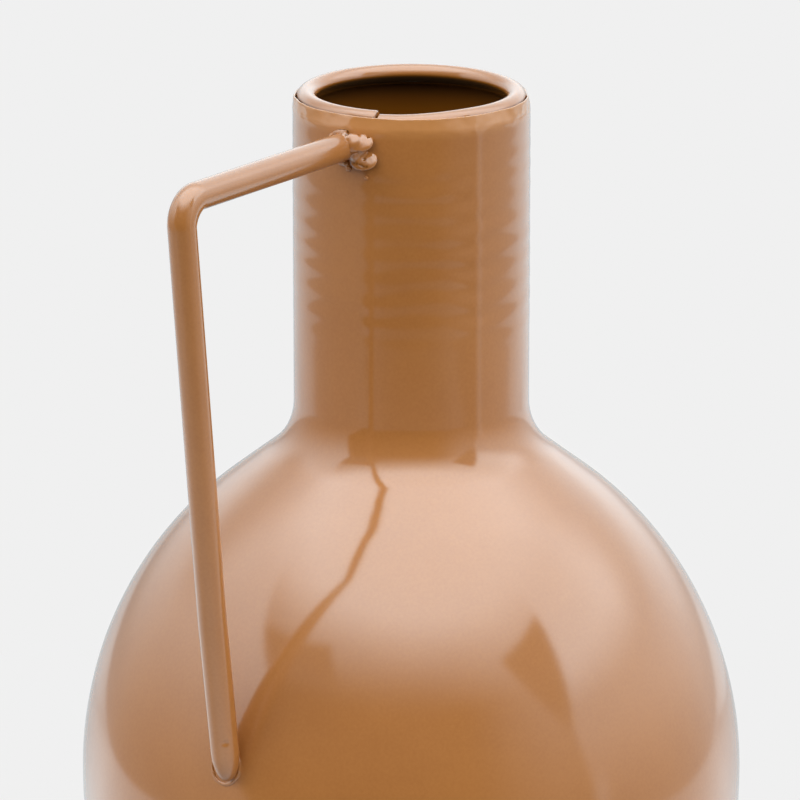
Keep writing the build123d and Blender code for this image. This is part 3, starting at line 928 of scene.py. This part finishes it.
# %% path of the handle
BAR_RADIUS = 4.2 * MM
BEND_RADIUS = 7 * MM
ARM_Z = RIM_Z - 7.6 * MM
ROOT_DEPTH = 0.7 * SHEET
ELBOW_OUT = 118.3 * MM
ELBOW_LIFT = 0.8 * MM
FOOT_Z = BELLY_Z + 22.7 * MM
FOOT_SINK = 2.4 * MM
FOOT_ASIDE = 1.1 * MM
KNEE_SHARE = 0.72

foot_skin = dome_centre[0] + sqrt(DOME_ARC ** 2 - (FOOT_Z - BELLY_Z) ** 2)
arm_root = Vector((-NECK_RADIUS + ROOT_DEPTH, 0, ARM_Z))
elbow = Vector((-ELBOW_OUT, 0, ARM_Z + ELBOW_LIFT))
foot = Vector((-foot_skin - BAR_RADIUS + FOOT_SINK, -FOOT_ASIDE, FOOT_Z))
knee_x = elbow.x + (foot.x - elbow.x) * KNEE_SHARE
knee = Vector((knee_x, 0, elbow.z + (foot.z - elbow.z) * KNEE_SHARE))
axis = bpy.data.meshes.new("handle_axis")
axis.from_pydata([arm_root, elbow, knee, foot], [(0, 1), (1, 2), (2, 3)], [])
print("leg is", round((foot - elbow).length / MM, 1), "mm long")

# %% bar of the handle
BEND_STEPS = 24
HANDLE_SIZES = {
    "Bar Radius": BAR_RADIUS,
    "Bend Radius": BEND_RADIUS,
    "Root Round": 0.05 * MM,
    "Nose Length": 9.5 * MM,
    "Nose Depth": 3.9 * MM,
    "Crush Round": 0.15 * MM,
    "Ring Spacing": 0.3 * MM,
    "Sides": 48,
    "Neck Cope": NECK_RADIUS - SHEET / 2,
    "Dome Cope": DOME_ARC - SHEET / 2,
    "Dent Depth": 0.35 * MM,
    "Dent Size": 1.3 * MM,
}
handle_tree, given = new_tree("handle_bar", HANDLE_SIZES)
tree = handle_tree
path = put(tree, "GeometryNodeMeshToCurve", {"Mesh": given["Geometry"]}).outputs[0]
feeds = {"Curve": path, "Radius": given["Bend Radius"], "Count": BEND_STEPS}
path = put(tree, "GeometryNodeFilletCurve", feeds, mode="POLY").outputs[0]
feeds = {"Curve": path, "Length": given["Ring Spacing"]}
path = put(tree, "GeometryNodeResampleCurve", feeds, mode="LENGTH").outputs[0]
ends = ((given["Root Round"], given["Root Round"]), (given["Nose Length"], given["Nose Depth"]))
bar = bar_along(tree, path, given["Bar Radius"], given["Sides"], ends)
point = put(tree, "GeometryNodeInputPosition").outputs[0]
print("plain bar takes", len(tree.nodes), "nodes")

# %% inner side of the bend, crushed nearly flat between two small corners
LEAST_FACING = 0.1

to_root = (arm_root - elbow).normalized()
to_foot = (knee - elbow).normalized()
half_turn = to_root.angle(to_foot) / 2
inward = (to_root + to_foot).normalized()
bend_middle = elbow + inward * (BEND_RADIUS / sin(half_turn))
inner_radius = BEND_RADIUS - BAR_RADIUS
chord = inner_radius * sin(half_turn)
spoke = put(tree, "ShaderNodeVectorMath", {0: point, 1: bend_middle}, operation="SUBTRACT").outputs[0]
spoke = put(tree, "ShaderNodeVectorMath", {0: spoke, 1: (1, 0, 1)}, operation="MULTIPLY").outputs[0]
spoke_length = put(tree, "ShaderNodeVectorMath", {0: spoke}, operation="LENGTH").outputs["Value"]
facing = calc(tree, "DIVIDE", along(tree, spoke, -inward), spoke_length)
to_chord = calc(tree, "DIVIDE", chord, calc(tree, "MAXIMUM", facing, LEAST_FACING))
bulge = calc(tree, "MAXIMUM", calc(tree, "SUBTRACT", inner_radius, to_chord), 0.0)
rounded = calc(tree, "ADD", bulge, given["Crush Round"])
bulge = calc(tree, "DIVIDE", calc(tree, "MULTIPLY", bulge, bulge), rounded)
inner_side = ease(tree, spoke_length, BEND_RADIUS, inner_radius)
bulge = calc(tree, "DIVIDE", calc(tree, "MULTIPLY", bulge, inner_side), spoke_length)
feeds = {0: spoke, "Scale": calc(tree, "MULTIPLY", bulge, -1.0)}
push = put(tree, "ShaderNodeVectorMath", feeds, operation="SCALE")
bar = put(tree, "GeometryNodeSetPosition", {"Geometry": bar, "Offset": push.outputs[0]}).outputs[0]
print("handle bends by", round(180 - degrees(2 * half_turn), 1), "degrees")

# %% small dent in the lacquer of the leg, near the foot
DENT_RISE = 13 * MM
DENT_ASIDE = 0.6 * MM

dent_share = (knee.z - FOOT_Z - DENT_RISE) / (knee.z - FOOT_Z)
dent = knee + (foot - knee) * dent_share + to_camera * BAR_RADIUS + to_right * DENT_ASIDE
away = put(tree, "ShaderNodeVectorMath", {0: point, 1: dent}, operation="DISTANCE").outputs["Value"]
hollow = ease(tree, away, given["Dent Size"], 0.0, 0.0, given["Dent Depth"])
normal = put(tree, "GeometryNodeInputNormal").outputs[0]
feeds = {0: normal, "Scale": calc(tree, "MULTIPLY", hollow, -1.0)}
push = put(tree, "ShaderNodeVectorMath", feeds, operation="SCALE")
bar = put(tree, "GeometryNodeSetPosition", {"Geometry": bar, "Offset": push.outputs[0]}).outputs[0]
print("dent", round(dent.z / MM, 1), "mm above the table")

# %% ends coped to the sheet that they stand on
DOME_COPE_BELOW = 200 * MM

height = put(tree, "ShaderNodeSeparateXYZ", {0: point}).outputs["Z"]
flat = put(tree, "ShaderNodeVectorMath", {0: point, 1: FLAT}, operation="MULTIPLY").outputs[0]
reach = put(tree, "ShaderNodeVectorMath", {0: flat}, operation="LENGTH").outputs["Value"]
outward = put(tree, "ShaderNodeVectorMath", {0: flat}, operation="NORMALIZE").outputs[0]
neck_gap = calc(tree, "MAXIMUM", calc(tree, "SUBTRACT", given["Neck Cope"], reach), 0.0)
run_in = calc(tree, "SUBTRACT", reach, dome_centre[0])
run_up = calc(tree, "SUBTRACT", height, dome_centre[1])
spoke = put(tree, "ShaderNodeCombineXYZ", {"X": run_in, "Y": run_up}).outputs[0]
spoke_length = put(tree, "ShaderNodeVectorMath", {0: spoke}, operation="LENGTH").outputs["Value"]
grown = calc(tree, "DIVIDE", calc(tree, "SUBTRACT", given["Dome Cope"], spoke_length), spoke_length)
at_foot = calc(tree, "LESS_THAN", height, DOME_COPE_BELOW)
grown = calc(tree, "MULTIPLY", calc(tree, "MAXIMUM", grown, 0.0), at_foot)
sideways = calc(tree, "MULTIPLY_ADD", run_in, grown, neck_gap)
push = put(tree, "ShaderNodeVectorMath", {0: outward, "Scale": sideways}, operation="SCALE").outputs[0]
lift = put(tree, "ShaderNodeCombineXYZ", {"Z": calc(tree, "MULTIPLY", run_up, grown)}).outputs[0]
push = put(tree, "ShaderNodeVectorMath", {0: push, 1: lift}, operation="ADD").outputs[0]
bar = put(tree, "GeometryNodeSetPosition", {"Geometry": bar, "Offset": push}).outputs[0]
end_tree(tree, bar, given["Finish"], BAR_SHARP)
handle = grow("handle_bar_bent", axis, handle_tree, {}, bar_finish)

# %% [markdown]
# A weld is drops of metal that ran together. Metaballs copy that: each drop is placed as the welder
# placed it, and neighbours flow into each other. Some drops lie inside the bar or the sheet and show only
# as the fillet that they draw up to it. They are laid out in millimetres, because metaballs are made for
# bigger things, and the skin is then brought to size, made a little uneven, pressed in at its pits, and
# kept out of the inside of the vase.

# %% melt drops into a weld
WELD_GRAIN = 0.2
MELT_LEVEL = 0.6
SOFT = 2.0
MIDDLING = 4.0
FIRM = 8.0


def melt(name, drops, finish, settle):
    """Weld from drops, each a place, a facing, three half sizes and a grip. Settle moves its skin."""
    blob = bpy.data.metaballs.new(name + "_drops")
    blob.resolution = WELD_GRAIN
    blob.threshold = MELT_LEVEL
    for place, facing, half_sizes, grip in drops:
        drop = blob.elements.new(type="ELLIPSOID")
        drop.co = place / MM
        drop.rotation = facing.to_track_quat("X", "Z")
        drop.stiffness = grip
        drop.radius = 1 / sqrt(1 - (MELT_LEVEL / grip) ** (1 / 3))
        drop.size_x, drop.size_y, drop.size_z = half_sizes
    helper = bpy.data.objects.new(name + "_drops", blob)
    scene.collection.objects.link(helper)
    graph = bpy.context.evaluated_depsgraph_get()
    mesh = bpy.data.meshes.new_from_object(helper.evaluated_get(graph))
    bpy.data.objects.remove(helper)
    mesh.name = name
    mesh.transform(Matrix.Scale(MM, 4))
    shade = mesh.attributes.new("shade", "FLOAT", "POINT")
    normals = [vertex.normal.copy() for vertex in mesh.vertices]
    for vertex, normal in zip(mesh.vertices, normals):
        vertex.co, pits_and_painted_shade = settle(vertex.co.copy(), normal)
        shade.data[vertex.index].value = pits_and_painted_shade
    mesh.materials.clear()
    mesh.materials.append(finish)
    for face in mesh.polygons:
        face.use_smooth = True
    piece = bpy.data.objects.new(name, mesh)
    scene.collection.objects.link(piece)
    print(name, "has", len(drops), "drops and", len(mesh.polygons), "faces")
    return piece


# %% [markdown]
# The upper weld is two big lumps beside the end of the arm, a thin bead over it and down its far side,
# and two drops of spatter. All of it is placed in millimetres from the middle of the arm's end: across
# the neck, up it, and proud of it.

# %% drops of the upper weld
def on_neck(across, up, proud):
    """Place beside the arm's root, in millimetres across the neck, up and proud, with the way out there."""
    turn = pi + across * MM / NECK_RADIUS
    out = Vector((cos(turn), sin(turn), 0))
    return out * (NECK_RADIUS + proud * MM) + Vector((0, 0, ARM_Z + up * MM)), out


# a lump is across, up, proud, half its height, width and tallness, and its lean upwards in degrees
LUMPS = [
    (6.4, -3.2, 0.8, 1.0, 4.3, 3.3, 35),
    (6.1, 2.0, 1.0, 1.2, 3.4, 3.1, 44),
    (3.6, 2.6, 2.0, 1.2, 2.4, 2.2, 44),
    (1.7, 3.4, 2.4, 1.1, 2.1, 1.8, 46),
    (5.2, -0.3, 0.5, 1.5, 2.2, 1.8, 10),
    (4.1, -1.5, 1.3, 1.5, 1.9, 2.3, 0),
    (3.6, 1.0, 2.2, 1.7, 2.1, 2.2, 15),
]
# a small drop is across, up, proud and its radius
TOP_BEAD = [
    (-3.2, 3.5, 0.3, 0.8),
    (-2.2, 3.8, 0.5, 0.9),
    (-1.2, 4.0, 0.5, 0.95),
    (-0.2, 4.0, 0.5, 0.95),
    (0.8, 4.1, 0.5, 0.85),
]
SIDE_BEAD = [
    (-4.3, 2.4, 0.3, 1.1),
    (-4.7, 0.8, 0.3, 1.1),
    (-4.6, -0.9, 0.3, 1.1),
    (-4.0, -2.6, 0.3, 1.1),
    (-2.8, -4.0, 0.3, 1.1),
    (-1.2, -4.8, 0.3, 1.1),
    (0.3, -5.0, 0.3, 1.0),
]
SPATTER = [(1.35, -6.5, 0.2, 0.85), (7.0, -8.7, 0.0, 0.65)]
CORE_PROUD = 3.0
CORE_HALF_SIZES = (3.5, 3.75, 3.75)

drops = []
for across, up, proud, half_height, half_width, half_tall, lean in LUMPS:
    place, out = on_neck(across, up, proud)
    facing = out * cos(radians(lean)) + Vector((0, 0, sin(radians(lean))))
    drops.append((place, facing, (half_height, half_width, half_tall), MIDDLING))
for across, up, proud, size in [*TOP_BEAD, *SIDE_BEAD, *SPATTER]:
    drops.append((*on_neck(across, up, proud), (size, size, size), SOFT))
drops.append((*on_neck(0, 0, CORE_PROUD), CORE_HALF_SIZES, FIRM))
print("upper weld has", len(drops), "drops")

# %% skin of the upper weld
# a pit is across, up, its width and its depth
PITS = [
    (2.0, 4.7, 0.6, 0.8),
    (7.4, 4.7, 0.5, 0.5),
    (7.8, 3.9, 0.4, 0.4),
    (7.0, -2.7, 0.4, 0.35),
    (4.1, -4.0, 0.35, 0.1),
    (5.0, -4.1, 0.35, 0.13),
    (5.9, -4.3, 0.35, 0.13),
    (6.6, -4.5, 0.35, 0.16),
    (7.2, -4.8, 0.35, 0.16),
    (8.0, -4.7, 0.35, 0.1),
]
PIT_SHADE = 0.7
UPPER_GRAIN = 1.8 * MM
UPPER_UNEVEN = 0.12 * MM
WELD_EDGE_PAINTED_SHADE = 0.8
EDGE_UP = 4.3
EDGE_PROUD = 1.1
EDGE_BLUR = 0.4


def settle_on_neck(place, normal):
    """Uneven skin with darker pits and painted shade along its upper edge, kept out of the inside of the
    neck.
    """
    across = atan2(-place.y, -place.x) * NECK_RADIUS / MM
    up = (place.z - ARM_Z) / MM
    place = place + normal * noise.noise(place / UPPER_GRAIN) * UPPER_UNEVEN
    pits_and_painted_shade = 0.0
    for pit_across, pit_up, width, depth in PITS:
        hollow = exp(-((across - pit_across) ** 2 + (up - pit_up) ** 2) / width ** 2)
        place = place - normal * hollow * depth * MM
        pits_and_painted_shade += PIT_SHADE * hollow
    radius = hypot(place.x, place.y)
    proud = (radius - NECK_RADIUS) / MM
    # painted shade in the crease along the weld's upper edge, where it meets the neck
    low = part_of_run(-proud, -EDGE_PROUD, EDGE_BLUR)
    pits_and_painted_shade += WELD_EDGE_PAINTED_SHADE * part_of_run(up, EDGE_UP, EDGE_BLUR) * low
    if radius < NECK_RADIUS - SHEET / 2:
        place.xy = place.xy * ((NECK_RADIUS - SHEET / 2) / radius)
    return place, min(1.0, pits_and_painted_shade)


neck_weld = melt("upper_weld_nugget", drops, weld_finish, settle_on_neck)

# %% [markdown]
# The lower weld is a thin bead round the end of the foot, with a little metal filled in under it. The
# bead follows a rule, a row of small drops along part of an oval, and noise makes the drops unequal.

# %% drops of the lower weld
def on_dome(across, up, proud):
    """Place beside the bar's foot, in millimetres across the dome, up and proud, with the way out there."""
    height = FOOT_Z + up * MM
    slope = asin((height - BELLY_Z) / DOME_ARC)
    reach = DOME_ARC + proud * MM
    radius = dome_centre[0] + reach * cos(slope)
    turn = pi + across * MM / radius
    out = Vector((cos(slope) * cos(turn), cos(slope) * sin(turn), sin(slope)))
    return Vector((radius * cos(turn), radius * sin(turn), BELLY_Z + reach * sin(slope))), out


OVAL_STEPS = 44
OVAL_SPREAD = radians(125)
OVAL_ACROSS = 4.7
OVAL_UP = 5.1
OVAL_MIDDLE = (-1.25, 3.1)
BEAD_SIZE = 0.5
BEAD_CHANGE = 0.12
BEAD_WANDER = 0.45

drops = []
for index in range(OVAL_STEPS + 1):
    turn = OVAL_SPREAD * (2 * index / OVAL_STEPS - 1)
    across = OVAL_MIDDLE[0] + OVAL_ACROSS * sin(turn)
    up = OVAL_MIDDLE[1] - OVAL_UP * cos(turn)
    size = BEAD_SIZE + BEAD_CHANGE * noise.noise(Vector((index * BEAD_WANDER, 0.3, 0.1)))
    drops.append((*on_dome(across, up, 0.0), (size, size, size), FIRM))
drops.append((*on_dome(0.0, 3.4, -0.2), (0.5, 4.6, 4.6), FIRM))
drops.append((*on_dome(0.6, 2.0, 0.0), (1.1, 2.4, 2.4), SOFT))
print("lower weld has", len(drops), "drops")

# %% skin of the lower weld
LOWER_GRAIN = 1.4 * MM
LOWER_UNEVEN = 0.08 * MM


def settle_on_dome(place, normal):
    """Slightly uneven skin, kept out of the inside of the dome."""
    place = place + normal * noise.noise(place / LOWER_GRAIN) * LOWER_UNEVEN
    run_in = hypot(place.x, place.y) - dome_centre[0]
    run_up = place.z - dome_centre[1]
    grown = (DOME_ARC - SHEET / 2) / hypot(run_in, run_up)
    if grown > 1:
        radius = dome_centre[0] + run_in * grown
        place.xy = place.xy * (radius / hypot(place.x, place.y))
        place.z = dome_centre[1] + run_up * grown
    return place, 0.0


foot_weld = melt("lower_weld_bead", drops, weld_finish, settle_on_dome)

# %% [markdown]
# Last, each piece says what it belongs to. All of them ride on the one body, because nothing on the vase
# moves, and each stands for one CAD node, whose own mesh is then hidden. The table also lists the finish
# that each piece wears.

# %% hand the pieces over to the frame
PIECES = {
    "shoulder_dome": (dome, "sheet_lacquer"),
    "lower_bowl": (bowl, "sheet_lacquer"),
    "neck_tube": (neck, "sheet_lacquer"),
    "rim_hoop": (hoop, "bar_lacquer"),
    "handle_bar": (handle, "bar_lacquer"),
    "upper_handle_weld": (neck_weld, "weld_lacquer"),
    "lower_handle_weld": (foot_weld, "weld_lacquer"),
}
for node, (piece, slot) in PIECES.items():
    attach(piece, "root")
    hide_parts(node)
print(len(PIECES), "pieces stand for", len(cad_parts), "nodes")
